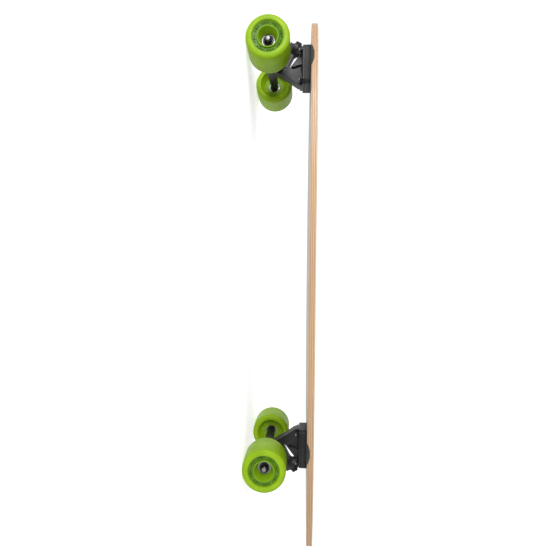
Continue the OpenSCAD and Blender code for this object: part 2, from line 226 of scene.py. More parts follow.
def grip_material():
    """Clear grit over the top veneer, the wood showing through, dirt caught in it and small painted
    glints
    """
    pale, dark = (0.52, 0.36, 0.225), (0.39, 0.255, 0.15)
    dirt, pit, painted_glint = (0.2, 0.15, 0.11), (0.16, 0.11, 0.07), (0.62, 0.55, 0.46)
    m = Nodes("clear_grit")
    fibres = m.noise(1.0, 6, 0.62, m.stretched((9, 260, 260)), 0.4)
    grit = m.cells(1500.0)
    coarse = m.noise(900.0, 3, 0.7)
    scuffs = m.noise(1.0, 6, 0.7, m.stretched((14, 26, 26)), 0.8)
    # painted highlights: small pale specks in the colour stand in for light glinting off the grit
    painted_glint_spots = m.ramp(m.cells(700.0), (0.0, 1.0), (0.09, 0.0))
    base = m.mix(m.ramp(fibres, (0.32, 0.0), (0.7, 1.0)), pale, dark)
    dirty = m.mix(m.ramp(scuffs, (0.5, 0.0), (0.85, 0.45)), base, dirt)
    pitted = m.mix(m.ramp(coarse, (0.5, 0.0), (0.72, 0.4)), dirty, pit)
    m.colour(m.mix(painted_glint_spots, pitted, painted_glint))
    m.roughness(coarse, 0.55, 0.9)
    m.bump(m.add(grit, coarse, 0.8), 0.0003, 0.8)
    return m.material


def cast_material():
    """Black paint on cast aluminium: fine orange peel, dust, and edges rubbed grey"""
    black, dusty, rubbed = (0.002, 0.002, 0.0022), (0.006, 0.006, 0.0064), (0.05, 0.05, 0.052)
    m = Nodes("cast_black")
    peel = m.noise(850.0, 3, 0.5)
    sand = m.noise(190.0, 5, 0.6)
    dust = m.noise(38.0, 5, 0.65)
    base = m.mix(m.ramp(dust, (0.35, 0.0), (0.75, 1.0)), black, dusty)
    m.colour(m.mix(m.worn_edges(), base, rubbed))
    m.roughness(dust, 0.33, 0.5)
    m.bump(m.add(peel, sand, 0.7), 0.00012, 0.55)
    return m.set(Specular_IOR_Level=0.3).material


def rubber_material(name, colour, roughness=(0.5, 0.72), grain=700.0):
    """Moulded rubber or plastic: fine grain, a chalky bloom and small scratches"""
    m = Nodes(name)
    skin = m.noise(grain, 4, 0.6)
    bloom = m.noise(60.0, 5, 0.7)
    scratches = m.noise(1.0, 4, 0.7, m.stretched((900, 60, 160), (0.3, 0.6, 0.2)))
    base = m.mix(m.ramp(bloom, (0.35, 0.0), (0.75, 1.0)), colour, tint(colour, 1.7))
    m.colour(m.mix(m.ramp(scratches, (0.64, 0.0), (0.72, 0.3)), base, tint(colour, 2.6)))
    m.roughness(bloom, *roughness)
    m.bump(m.add(skin, bloom, 0.8), 0.00012, 0.5)
    return m.set(Specular_IOR_Level=0.32).material


def metal_material(name, colour, roughness=(0.22, 0.4), turned=(300, 2600, 300)):
    """Plated or polished steel: turning marks, blotches of plating and fine pits"""
    m = Nodes(name)
    marks = m.noise(1.0, 3, 0.6, m.stretched(turned))
    blotch = m.noise(120.0, 4, 0.65)
    pits = m.noise(1400.0, 2, 0.6)
    base = m.mix(m.ramp(blotch, (0.35, 0.0), (0.7, 1.0)), colour, tint(colour, 0.72))
    m.colour(m.mix(m.ramp(pits, (0.64, 0.0), (0.72, 0.5)), base, tint(colour, 0.45)))
    m.roughness(marks, *roughness)
    m.bump(m.add(marks, pits, 0.4), 0.00004, 0.5)
    return m.set(Metallic=1.0).material


def urethane_material(name, colour, shade):
    """Cast urethane: cloudy colour, slightly waxy, with scuffs rolled into it"""
    m = Nodes(name)
    cloud = m.noise(42.0, 4, 0.55)
    fine = m.noise(520.0, 5, 0.6)
    rolled = m.noise(1.0, 5, 0.7, m.stretched((34, 900, 34)))
    base = m.mix(m.ramp(cloud, (0.3, 0.0), (0.75, 1.0)), colour, shade)
    m.colour(m.mix(m.ramp(rolled, (0.6, 0.0), (0.78, 0.28)), base, tint(shade, 0.8)))
    m.roughness(m.add(cloud, fine, 0.25), 0.3, 0.46)
    m.bump(m.add(fine, rolled, 0.5), 0.00006, 0.45)
    m.set(Subsurface_Weight=0.1, Subsurface_Scale=0.003, Specular_IOR_Level=0.14)
    m.set(Coat_Weight=0.02, Coat_Roughness=0.3)
    m.shader.inputs["Subsurface Radius"].default_value = (0.7, 1.0, 0.2)
    return m.material


# One wood per veneer, lowest first: (pale, dark)
MAPLE = [
    wood_material("maple_%d" % (i + 1), pale, dark)
    for i, (pale, dark) in enumerate([
        ((0.43, 0.29, 0.185), (0.33, 0.21, 0.12)),
        ((0.31, 0.175, 0.088), (0.24, 0.13, 0.06)),
        ((0.45, 0.305, 0.185), (0.35, 0.225, 0.125)),
        ((0.32, 0.187, 0.096), (0.25, 0.137, 0.064)),
        ((0.45, 0.31, 0.19), (0.35, 0.23, 0.128)),
        ((0.315, 0.183, 0.092), (0.245, 0.133, 0.062)),
        ((0.48, 0.345, 0.22), (0.38, 0.255, 0.15)),
    ])
]
UNDERSIDE = underside_material()
WELL = well_material()
GRIT = grip_material()
CAST = cast_material()
RISER = rubber_material("riser_rubber", (0.008, 0.0083, 0.0086), (0.42, 0.56))
CUP = rubber_material("cup_rubber", (0.02, 0.02, 0.021))
BUSHING = rubber_material("bushing_urethane", (0.012, 0.012, 0.0125), (0.36, 0.5))
SEAL = rubber_material("bearing_seal", (0.014, 0.014, 0.015), (0.35, 0.5), 1500.0)
STEEL = metal_material("zinc_steel", (0.56, 0.57, 0.58))
BLACK_STEEL = metal_material("black_oxide", (0.02, 0.02, 0.022), (0.35, 0.5))
RING_STEEL = metal_material("bearing_ring", (0.3, 0.3, 0.31), (0.25, 0.4))
AXLE_STEEL = metal_material("axle_steel", (0.2, 0.2, 0.205), (0.3, 0.45))
BALL_STEEL = metal_material("bearing_ball", (0.85, 0.85, 0.87), (0.05, 0.12))
LIME = urethane_material("lime_urethane", (0.205, 0.335, 0.004), (0.155, 0.275, 0.003))
LIME_MARK = urethane_material("lime_marks", (0.03, 0.075, 0.005), (0.02, 0.055, 0.004))
LIME_CHANNEL = urethane_material("lime_channel", (0.07, 0.16, 0.002), (0.045, 0.12, 0.002))
HUB = urethane_material("lime_core", (0.15, 0.27, 0.004), (0.105, 0.21, 0.003))


# ---- Mesh helpers ----

SMOOTH_ANGLE = 40.0     # degrees; sharper edges than this stay sharp
DECK_SMOOTH_ANGLE = 30.0


def piece(name, bm, materials, body, nodes, smooth_angle=SMOOTH_ANGLE):
    """Turns a bmesh into a finished piece that rides on a body and stands for CAD nodes."""
    bmesh.ops.recalc_face_normals(bm, faces=bm.faces)
    mesh = bpy.data.meshes.new(name)
    bm.to_mesh(mesh)
    bm.free()
    for m in materials:
        mesh.materials.append(m)
    obj = bpy.data.objects.new(name, mesh)
    bpy.context.collection.objects.link(obj)
    finish_piece(obj, body, nodes, smooth_angle)
    return obj


def finish_piece(obj, body, nodes, smooth_angle):
    shade(obj, smooth_angle)
    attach(obj, body)
    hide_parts(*nodes)


def shade(obj, smooth_angle):
    """Smooth shading, with the edges over an angle kept sharp"""
    mesh = obj.data
    mesh.polygons.foreach_set("use_smooth", [True] * len(mesh.polygons))
    bm = bmesh.new()
    bm.from_mesh(mesh)
    for e in bm.edges:
        e.smooth = not (e.is_manifold and e.calc_face_angle(0) > math.radians(smooth_angle))
    bm.to_mesh(mesh)
    bm.free()


def apply_modifiers(obj):
    """Replaces an object's mesh by what its modifiers make of it"""
    graph = bpy.context.evaluated_depsgraph_get()
    mesh = bpy.data.meshes.new_from_object(obj.evaluated_get(graph))
    if not mesh.polygons:
        raise RuntimeError(obj.name + " came out empty")
    obj.modifiers.clear()
    old = obj.data
    obj.data = mesh
    mesh.name = obj.name
    bpy.data.meshes.remove(old)


def rounded(points, steps=4):
    """A profile of (r, h, fillet) points turned into (r, h) points with rounded corners"""
    out = []
    for i, (r, h, fillet) in enumerate(points):
        here = Vector((r, h))
        if not fillet or i in (0, len(points) - 1):
            out.append((r, h))
            continue
        back = Vector(points[i - 1][:2]) - here
        ahead = Vector(points[i + 1][:2]) - here
        half = back.angle(ahead) / 2
        run = min(fillet / math.tan(half), back.length * 0.49, ahead.length * 0.49)
        a = here + back.normalized() * run
        b = here + ahead.normalized() * run
        for k in range(steps + 1):
            t = k / steps
            p = a * (1 - t) ** 2 + here * 2 * t * (1 - t) + b * t ** 2
            out.append((p.x, p.y))
    return out


def lathe(bm, profile, place, segments=96, material=0, closed=True):
    """Turns (r, h) points in metres about the local Z of a matrix"""
    rings = []
    for r, h in profile:
        if r < 1e-7:
            rings.append([bm.verts.new(place @ Vector((0, 0, h)))])
            continue
        turn = [2 * math.pi * k / segments for k in range(segments)]
        corners = [Vector((r * math.cos(a), r * math.sin(a), h)) for a in turn]
        rings.append([bm.verts.new(place @ c) for c in corners])
    following = rings[1:] + rings[:1] if closed else rings[1:]
    for a, b in zip(rings, following):
        if len(a) == 1 and len(b) == 1:
            continue
        for k in range(segments):
            n = (k + 1) % segments
            corners = [a[k % len(a)], a[n % len(a)], b[n % len(b)], b[k % len(b)]]
            loop = list(dict.fromkeys(corners))
            bm.faces.new(loop).material_index = material


def loft(bm, rings, material=0):
    """Walls between rings of equal count, without end caps"""
    for a, b in zip(rings, rings[1:]):
        for k in range(len(a)):
            n = (k + 1) % len(a)
            bm.faces.new((a[k], a[n], b[n], b[k])).material_index = material


def capped_loft(bm, rings, material=0):
    """A closed solid through rings of equal count"""
    loft(bm, rings, material)
    bm.faces.new(rings[0]).material_index = material
    bm.faces.new(rings[-1]).material_index = material


def rod_profile(r, low, high):
    """Open profile of a plain cylinder, for lathe with closed=False"""
    return [(0, low), (r, low), (r, high), (0, high)]


def hexagon(bm, r, low, high, chamfer, place):
    """Solid hexagon with chamfered corners, as on a nut or bolt head; r is to the corners"""
    sides = 6
    count = 16

    def ring(h, rounding):
        verts = []
        for s in range(sides):
            for k in range(count):
                a = 2 * math.pi * (s + k / count) / sides
                across = math.cos(2 * math.pi * (k / count - 0.5) / sides)
                flat = math.cos(math.pi / sides) / across
                d = r * min(flat, 1 - rounding)
                verts.append(bm.verts.new(place @ Vector((d * math.cos(a), d * math.sin(a), h))))
        return verts

    worn = 0.02
    chamfered = (1 - math.cos(math.pi / sides)) * 0.98
    capped_loft(bm, [
        ring(low, chamfered), ring(low + chamfer, worn),
        ring(high - chamfer, worn), ring(high, chamfered),
    ])


def thread(bm, r, depth, pitch, low, high, place):
    """Closed threaded rod: a helical ridge on a cylinder, with capped and chamfered ends"""
    around = 48
    rows_per_turn = 6
    rows = max(4, int((high - low) / pitch * rows_per_turn))
    rings = []
    for i in range(rows + 1):
        h = low + (high - low) * i / rows
        end = min(i, rows - i)
        ring = []
        for k in range(around):
            a = 2 * math.pi * k / around
            phase = (h / pitch - k / around) % 1.0
            cut_in = depth * abs(2 * phase - 1) + (depth * (2 - end) if end < 2 else 0)
            at = Vector(((r - cut_in) * math.cos(a), (r - cut_in) * math.sin(a), h))
            ring.append(bm.verts.new(place @ at))
        rings.append(ring)
    capped_loft(bm, rings)


def subtract(obj, tool, keep_tool_material=False):
    """Cuts tool out of obj and deletes it; use_self copes with shells that overlap"""
    cutter = obj.modifiers.new("cut", "BOOLEAN")
    cutter.operation = "DIFFERENCE"
    cutter.solver = "EXACT"
    cutter.use_self = True
    cutter.object = tool
    cutter.material_mode = "TRANSFER" if keep_tool_material else "INDEX"
    apply_modifiers(obj)
    bpy.data.objects.remove(tool)


def drill(obj, tool, smooth_angle=SMOOTH_ANGLE):
    """Cuts tool out of a finished piece and shades it again"""
    subtract(obj, tool)
    shade(obj, smooth_angle)


def tool_object(bm, material=None):
    """A bmesh turned into an object to cut with"""
    bmesh.ops.recalc_face_normals(bm, faces=bm.faces)
    mesh = bpy.data.meshes.new("tool")
    bm.to_mesh(mesh)
    bm.free()
    if material:
        mesh.materials.append(material)
    obj = bpy.data.objects.new("tool", mesh)
    bpy.context.collection.objects.link(obj)
    return obj


def mesh_copy(node, name):
    """A new piece that starts from the mesh of a CAD node"""
    obj = bpy.data.objects.new(name, frame["nodes"][node].data.copy())
    obj.data.materials.clear()
    bpy.context.collection.objects.link(obj)
    bm = bmesh.new()
    bm.from_mesh(obj.data)
    bmesh.ops.remove_doubles(bm, verts=bm.verts, dist=1e-6)
    bmesh.ops.dissolve_limit(bm, angle_limit=math.radians(0.5), verts=bm.verts, edges=bm.edges)
    bm.to_mesh(obj.data)
    bm.free()
    return obj


# ---- Deck ----

EDGE_ROUND = 0.9 * MM
GRIP_MARGIN = 0.9 * MM
ACROSS = 6


def nose_half(u):
    return HALF_WIDTH * (1 - u ** 2.4) ** (1 / 2.4)


def tail_half(u):
    return HALF_WIDTH * (1 - u ** 1.8) ** 0.8


def half_outline(steps=90):
    """Points (x, y) along the left edge, from the tail tip to the nose tip"""
    def stretch(start, reach, shape):
        pts = []
        for i in range(steps + 1):
            u = math.sin(math.pi / 2 * i / steps)
            pts.append(Vector((start + u * reach, shape(u) if i < steps else 0)))
        return pts
    tail_start = TAIL_REACH - HALF_LENGTH
    nose_start = HALF_LENGTH - NOSE_REACH
    tail = stretch(tail_start, -TAIL_REACH, tail_half)
    nose = stretch(nose_start, NOSE_REACH, nose_half)
    gap = nose_start - tail_start
    straight = [Vector((tail_start + gap * k / 12, HALF_WIDTH)) for k in range(1, 12)]
    return tail[::-1] + straight + nose


OUTLINE = half_outline()


def inset_outline(inset):
    """The left edge moved inward, by less where the tail is narrower than the move.

    Its tips stay on the middle line."""
    out = []
    for i, p in enumerate(OUTLINE):
        room = inset if p.x > 0 else min(inset, 0.35 * p.y)
        if i in (0, len(OUTLINE) - 1):
            out.append(Vector((p.x + (room if i == 0 else -room), 0)))
            continue
        run = (OUTLINE[i + 1] - OUTLINE[i - 1]).normalized()
        out.append(Vector((p.x + run.y * room, p.y - run.x * room)))
    return out


def surface(x, height):
    """Height over the ground, at x, of what lies height above the bowed underside"""
    return DECK_HEIGHT + END_RISE * (x / HALF_LENGTH) ** 2 + height


def sheet_face(bm, inset, height, material, flip):
    """A face between both edges.

    Returns its rim, left edge from tail to nose and back on the right."""
    rows = []
    for p in inset_outline(inset):
        if p.y < 1e-6:
            rows.append([bm.verts.new((p.x, 0, surface(p.x, height)))])
            continue
        ys = [p.y * (1 - 2 * k / ACROSS) for k in range(ACROSS + 1)]
        rows.append([bm.verts.new((p.x, y, surface(p.x, height))) for y in ys])
    for a, b in zip(rows, rows[1:]):
        for k in range(ACROSS):
            near = [a[min(k, len(a) - 1)], a[min(k + 1, len(a) - 1)]]
            far = [b[min(k + 1, len(b) - 1)], b[min(k, len(b) - 1)]]
            loop = list(dict.fromkeys(near + far))
            if len(loop) > 2:
                bm.faces.new(loop[::-1] if flip else loop).material_index = material
    return [r[0] for r in rows] + [r[-1] for r in rows[-2:0:-1]]


def rim_ring(bm, inset, height):
    """Vertices round the edge, in the order of sheet_face's rim"""
    edge = inset_outline(inset)
    left = [bm.verts.new((p.x, p.y, surface(p.x, height))) for p in edge]
    right = [bm.verts.new((p.x, -p.y, surface(p.x, height))) for p in edge[-2:0:-1]]
    return left + right


def deck_layer(low, high, low_round=0.0, high_round=0.0, under=0):
    """A closed layer of the deck; its lower or upper edge may be rounded.

    under is the material index of its lower face."""
    bm = bmesh.new()
    levels = []
    steps = 4
    if low_round:
        for k in range(1, steps + 1):
            a = math.pi / 2 * k / steps
            levels.append((low_round * (1 - math.sin(a)), low + low_round * (1 - math.cos(a))))
    else:
        levels.append((0.0, low))
    if high_round:
        for k in range(steps):
            a = math.pi / 2 * k / steps
            levels.append((high_round * (1 - math.cos(a)), high - high_round * (1 - math.sin(a))))
    else:
        levels.append((0.0, high))
    bottom = sheet_face(bm, low_round, low, under, True)
    lid = sheet_face(bm, high_round, high, 0, False)
    inner = levels[0 if low_round else 1:len(levels) if high_round else -1]
    rings = [bottom] + [rim_ring(bm, *level) for level in inner] + [lid]
    loft(bm, rings)
    return bm


def truck_matrix(end):
    """From a truck's own axes, X toward its end of the board and Z up from the axle"""
    axle = middle(end + "_axle")
    return Matrix.Translation(axle) @ Matrix.Rotation(0 if end == "front" else math.pi, 4, "Z")


MOUNT_NUT_R = 5.2 * MM


def bolt_places():
    """Centres of the eight bolts, from the boxes of the two sets of nuts"""
    places = []
    for end in ENDS:
        low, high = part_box(end + "_mount_nuts")
        flat = MOUNT_NUT_R * math.cos(math.pi / 6)
        for x in (low.x + MOUNT_NUT_R, high.x - MOUNT_NUT_R):
            for y in (low.y + flat, high.y - flat):
                places.append((end, x, y))
    return places


BOLTS = bolt_places()
BOLT_TOP = {end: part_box(end + "_mount_bolts")[1].z for end in ENDS}
BOLT_END = {end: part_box(end + "_mount_bolts")[0].z for end in ENDS}
BOLT_R = 2.4 * MM
HOLE_R = 2.7 * MM
HEAD_R = 4.6 * MM
HEAD_H = 2.8 * MM
SINK_R = HEAD_R + 0.9 * MM
SINK_OVER = 0.4 * MM
TOOL_UP = 20 * MM
TOOL_DOWN = 40 * MM


def bolt_hole_tool(reach_r):
    """Clearance holes with countersinks for the heads; reach_r is the hole's least radius"""
    bm = bmesh.new()
    for end, x, y in BOLTS:
        place = Matrix.Translation((x, y, 0))
        top = BOLT_TOP[end]
        profile = [
            (0, top - TOOL_DOWN), (reach_r, top - TOOL_DOWN), (reach_r, top - HEAD_H),
            (SINK_R, top + SINK_OVER), (SINK_R, top + TOOL_UP), (0, top + TOOL_UP),
        ]
        lathe(bm, profile, place, 40, closed=False)
    return tool_object(bm)


WELL_R = 46 * MM
WELL_INBOARD = 18 * MM
WELL_EDGE = 86 * MM
WELL_TILT = math.radians(7)
WELL_DEPTH = 3.8 * MM
WELL_REACH = 70 * MM
WELL_PLIES = 3          # the veneers, from below, that the wells reach into


def well_tool():
    """The four ground-out hollows over the wheels"""
    bm = bmesh.new()
    over = surface(middle("front_axle").x, 0.0)
    for end in ENDS:
        truck = truck_matrix(end)
        for side in (1, -1):
            lift = over + WELL_DEPTH - WELL_R - truck.translation.z
            place = truck @ Matrix.Translation((-WELL_INBOARD, side * WELL_EDGE, lift))
            place = place @ Matrix.Rotation(side * WELL_TILT, 4, "X")
            place = place @ Matrix.Rotation(math.pi / 2, 4, "X")
            lathe(bm, rod_profile(WELL_R, -WELL_REACH, WELL_REACH), place, 240, closed=False)
    return tool_object(bm, WELL)


def deck():
    """The seven veneers; the lowest and highest have rounded edges"""
    for i in range(1, PLY_COUNT + 1):
        name = "deck_ply_%d" % i
        low, high = (i - 1) * PLY, i * PLY
        bottom = i == 1
        top = i == PLY_COUNT
        bm = deck_layer(
            low, high,
            EDGE_ROUND if bottom else 0.0, EDGE_ROUND * 0.7 if top else 0.0,
            under=1 if bottom else 0,
        )
        materials = [MAPLE[i - 1]] + ([UNDERSIDE] if bottom else [])
        obj = piece("visual_" + name, bm, materials, "board", [name], DECK_SMOOTH_ANGLE)
        if i <= WELL_PLIES:
            subtract(obj, well_tool(), keep_tool_material=True)
        drill(obj, bolt_hole_tool(HOLE_R), DECK_SMOOTH_ANGLE)


def grip_tape():
    """The clear grip, a little smaller than the deck, with round holes over the bolts"""
    thick = PLY_COUNT * PLY
    bm = deck_layer(thick, thick + GRIP, 0.0, 0.2 * MM)
    for v in bm.verts:
        v.co.x *= 1 - GRIP_MARGIN / HALF_LENGTH
        v.co.y *= 1 - GRIP_MARGIN / HALF_WIDTH
    obj = piece("visual_grip_tape", bm, [GRIT], "board", ["grip_tape"], DECK_SMOOTH_ANGLE)
    drill(obj, bolt_hole_tool(HEAD_R + 0.5 * MM), DECK_SMOOTH_ANGLE)


# ---- Trucks ----

# Heights along the kingpin are from the middle of the hanger's ring, toward the deck.
KINGPIN_R = 4.7 * MM
KINGPIN_BORE = 4.95 * MM
KINGPIN_END = -24 * MM
KINGPIN_THREAD_TOP = -15.8 * MM
KINGPIN_HEAD = (18 * MM, 22 * MM)
KINGPIN_HEAD_R = 7.6 * MM
KINGPIN_NUT = (-21.2 * MM, -14.2 * MM)
KINGPIN_NUT_R = 8 * MM
RING_FACE = 3.55 * MM
CHAMFER = 0.5 * MM


def kingpin_matrix(end):
    """Origin at the middle of the hanger's ring, X along the steering axis.

    Z runs along the kingpin toward the deck."""
    joint = JOINTS[end + "_steer"]
    along = Vector(joint["axis"])
    across = Vector((0, 1, 0)) if end == "front" else Vector((0, -1, 0))
    up = along.cross(across).normalized()
    basis = Matrix((along, across, up)).transposed().to_4x4()
    return Matrix.Translation(joint["pos_m"]) @ basis


def cast_piece(end, node, body, voxel):
    """A cast part: its CAD shape with every corner worn round by a fine remesh and smoothing"""
    name = end + "_" + node
    obj = mesh_copy(name, "visual_" + name)
    obj.data.materials.append(CAST)
    net = obj.modifiers.new("net", "REMESH")
    net.mode = "VOXEL"
    net.voxel_size = voxel
    soft = obj.modifiers.new("soft", "SMOOTH")
    soft.factor = 0.5
    soft.iterations = 6
    apply_modifiers(obj)
    finish_piece(obj, body, [name], 180)


def bevelled_piece(name, material, body, width):
    """A CAD shape with its sharp edges bevelled"""
    obj = mesh_copy(name, "visual_" + name)
    obj.data.materials.append(material)
    edge = obj.modifiers.new("edge", "BEVEL")
    edge.width = width
    edge.segments = 3
    edge.limit_method = "ANGLE"
    edge.angle_limit = math.radians(35)
    apply_modifiers(obj)
    finish_piece(obj, body, [name], 35)


def kingpin(end):
    """Shank, thread and hexagon head"""
    place = kingpin_matrix(end)
    bm = bmesh.new()
    shank = rounded([
        (0, -16 * MM, 0), (KINGPIN_R, -16 * MM, 0.3 * MM), (KINGPIN_R, 18.1 * MM, 0),
        (0, 18.1 * MM, 0),
    ])
    lathe(bm, shank, place, 64, closed=False)
    thread(bm, KINGPIN_R, 0.45 * MM, 1.25 * MM, KINGPIN_END, KINGPIN_THREAD_TOP, place)
    hexagon(bm, KINGPIN_HEAD_R, *KINGPIN_HEAD, CHAMFER, place)
    piece("visual_%s_kingpin" % end, bm, [STEEL], "board", [end + "_kingpin"])


def kingpin_nut(end):
    name = end + "_kingpin_nut"
    place = kingpin_matrix(end)
    low, high = KINGPIN_NUT
    bm = bmesh.new()
    hexagon(bm, KINGPIN_NUT_R, low, high, CHAMFER, place)
    obj = piece("visual_" + name, bm, [STEEL], "board", [name])
    hole = bmesh.new()
    lathe(hole, rod_profile(4.8 * MM, low - MM, high + MM), place, 64, closed=False)
    drill(obj, tool_object(hole))


def bushings(end):
    """A barrel on the deck's side of the hanger's ring and a cone on the road's side"""
    place = kingpin_matrix(end)
    bore = KINGPIN_BORE
    barrel = rounded([
        (bore, RING_FACE, 0), (12.1 * MM, RING_FACE, 0.7 * MM), (12.1 * MM, 4.9 * MM, 0.9 * MM),
        (10.4 * MM, 10.4 * MM, 1 * MM), (9.7 * MM, 11.95 * MM, 0.8 * MM), (bore, 11.95 * MM, 0),
    ], 6)
    cone = rounded([
        (bore, -12.95 * MM, 0), (7.3 * MM, -12.95 * MM, 0.9 * MM), (7.8 * MM, -11.4 * MM, 1 * MM),
        (9.7 * MM, -5.2 * MM, 1 * MM), (9.7 * MM, -RING_FACE, 0.6 * MM), (bore, -RING_FACE, 0),
    ], 6)
    for label, profile in (("boardside", barrel), ("roadside", cone)):
        bm = bmesh.new()
        lathe(bm, profile, place, 96)
        node = "%s_%s_bushing" % (end, label)
        piece("visual_" + node, bm, [BUSHING], "board", [node])


def washers(end):
    """Flat washers with rounded rims, outside the bushings"""
    place = kingpin_matrix(end)
    for label, low, high, r in (("boardside", 12.0, 13.2, 10.3), ("roadside", -14.2, -13.0, 8.6)):
        bm = bmesh.new()
        profile = rounded([
            (KINGPIN_BORE, low * MM, 0.2 * MM), (r * MM, low * MM, 0.45 * MM),
            (r * MM, high * MM, 0.45 * MM), (KINGPIN_BORE, high * MM, 0.2 * MM),
        ])
        lathe(bm, profile, place, 96)
        node = "%s_%s_washer" % (end, label)
        piece("visual_" + node, bm, [STEEL], "board", [node])


def cross_tool(x, y, top):
    """Tapered cross recess of a bolt head"""
    wide, narrow, half = 2.3 * MM, 1.1 * MM, 0.5 * MM
    bm = bmesh.new()
    for turn in (0, math.pi / 2):
        place = Matrix.Translation((x, y, top)) @ Matrix.Rotation(turn, 4, "Z")
        rims = []
        for reach, h, w in ((narrow, -1.5 * MM, half * 0.7), (wide, 0.3 * MM, half)):
            rims.append([bm.verts.new(place @ Vector(c)) for c in (
                (-reach, -w, h), (reach, -w, h), (reach, w, h), (-reach, w, h))])
        capped_loft(bm, rims)
    return tool_object(bm)


def mount_bolts(end):
    """Four countersunk bolts, threaded at their lower ends"""
    threaded = 12 * MM
    bm = bmesh.new()
    top, low = BOLT_TOP[end], BOLT_END[end]
    mine = [(x, y) for e, x, y in BOLTS if e == end]
    for x, y in mine:
        place = Matrix.Translation((x, y, 0))
        profile = rounded([
            (0, low + threaded, 0), (BOLT_R, low + threaded, 0), (BOLT_R, top - HEAD_H, 0.3 * MM),
            (HEAD_R, top - 0.5 * MM, 0.2 * MM), (HEAD_R * 0.94, top, 0.3 * MM), (0, top, 0),
        ])
        lathe(bm, profile, place, 56, closed=False)
        thread(bm, BOLT_R, 0.3 * MM, 0.8 * MM, low, low + 12.2 * MM, place)
    name = end + "_mount_bolts"
    obj = piece("visual_" + name, bm, [STEEL], "board", [name])
    for x, y in mine:
        subtract(obj, cross_tool(x, y, top))
    shade(obj, 35)


def mount_nuts(end):
    name = end + "_mount_nuts"
    low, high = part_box(name)
    places = [Matrix.Translation((x, y, 0)) for e, x, y in BOLTS if e == end]
    bm = bmesh.new()
    holes = bmesh.new()
    for place in places:
        hexagon(bm, MOUNT_NUT_R, low.z, high.z, 0.45 * MM, place)
        lathe(holes, rod_profile(BOLT_R, low.z - MM, high.z + MM), place, 48, closed=False)
    obj = piece("visual_" + name, bm, [BLACK_STEEL], "board", [name])
    drill(obj, tool_object(holes))


def along_axle(centre):
    """Local Z along +Y through a point"""
    return Matrix.Translation(centre) @ Matrix.Rotation(-math.pi / 2, 4, "X")


def axle(end):
    """A plain rod, threaded at both ends"""
    name = end + "_axle"
    half = extent(name).y / 2
    place = along_axle(middle(name))
    threaded = 12 * MM
    bm = bmesh.new()
    lathe(bm, rod_profile(AXLE_R, -half + threaded, half - threaded), place, 64, closed=False)
    thread(bm, AXLE_R, 0.35 * MM, 1.0 * MM, half - threaded - 0.2 * MM, half, place)
    thread(bm, AXLE_R, 0.35 * MM, 1.0 * MM, -half, threaded + 0.2 * MM - half, place)
    piece("visual_" + name, bm, [AXLE_STEEL], end + "_truck", [name])


AXLE_NUT_R = 6.9 * MM
AXLE_NUT_H = 7 * MM
AXLE_NUT_COLLAR = 2 * MM
AXLE_NUT_COLLAR_R = 5.9 * MM


def axle_nuts(end):
    """Hexagons with a round locking collar on the outside"""
    name = end + "_axle_nuts"
    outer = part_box(name)[1].y
    centre = middle(name)
    bm = bmesh.new()
    for turn in (0, math.pi):
        place = along_axle(centre) @ Matrix.Rotation(turn, 4, "X")
        hexagon(bm, AXLE_NUT_R, outer - AXLE_NUT_H, outer - AXLE_NUT_COLLAR, 0.4 * MM, place)
        collar = rounded([
            (AXLE_R + 0.05 * MM, outer - 2.2 * MM, 0), (AXLE_NUT_COLLAR_R, outer - 2.2 * MM, 0),
            (AXLE_NUT_COLLAR_R, outer - 0.5 * MM, 0.5 * MM), (5.2 * MM, outer, 0.4 * MM),
            (AXLE_R + 0.35 * MM, outer, 0.2 * MM), (AXLE_R + 0.05 * MM, outer - 0.6 * MM, 0),
        ])
        lathe(bm, collar, place, 64)
    obj = piece("visual_" + name, bm, [BLACK_STEEL], end + "_truck", [name])
    reach = outer + MM
    bore = AXLE_R + 0.02 * MM
    hole = bmesh.new()
    lathe(hole, rod_profile(bore, -reach, reach), along_axle(centre), 64, closed=False)
    drill(obj, tool_object(hole))


# ---- Wheels ----

CORE_R = 18.52 * MM
CORE_INNER = 15 * MM
CORE_OUTER = HALF_WHEEL - 1.5 * MM
FLOOR_DEPTH = 3.9 * MM          # of the outer face's channel, at the core
CHANNEL_R = 26 * MM
CHANNEL_LIP_R = 27.4 * MM
FACE_R = WHEEL_R - 5.6 * MM
LIP_ROUND = 6 * MM
MARK_COUNT = 32
MARK_HALF_WIDTH = 1.05 * MM
CHANNEL_SLOPE = 0.7 / 7.5       # rise of the channel's floor toward its rim
TREAD_MATERIAL, MARK_MATERIAL, CHANNEL_MATERIAL = range(3)


def lip(side):
    """Rounding between a face and the tread, from the face outward"""
    r = LIP_ROUND
    turn = [math.pi / 2 * k / 12 for k in range(1, 13)]
    return [
        (WHEEL_R - r + r * math.sin(a), side * (HALF_WHEEL - r + r * math.cos(a)))
        for a in turn
    ]


def tyre_profile():
    """Closed section, (r, h) from the wheel's middle.

    It has a channel in the outer face and a deep bowl in the inner."""
    half = HALF_WHEEL
    outer = rounded([
        (CORE_R, 0, 0), (CORE_R, half - FLOOR_DEPTH, 0.15 * MM),
        (CHANNEL_R, half - 3.2 * MM, 0.7 * MM), (CHANNEL_LIP_R, half, 0.9 * MM),
        (FACE_R, half, 0.5 * MM),
    ])[1:]
    inner = rounded([
        (CORE_R, 0, 0), (CORE_R, -CORE_INNER, 0.1 * MM), (19.5 * MM, -CORE_INNER, 0.2 * MM),
        (20.4 * MM, -17.2 * MM, 0.8 * MM), (CHANNEL_R, -25.0 * MM, 3 * MM),
        (CHANNEL_LIP_R, -half, 0.9 * MM), (FACE_R, -half, 0.5 * MM),
    ])[1:]
    return outer + lip(1) + lip(-1)[::-1] + inner[::-1]


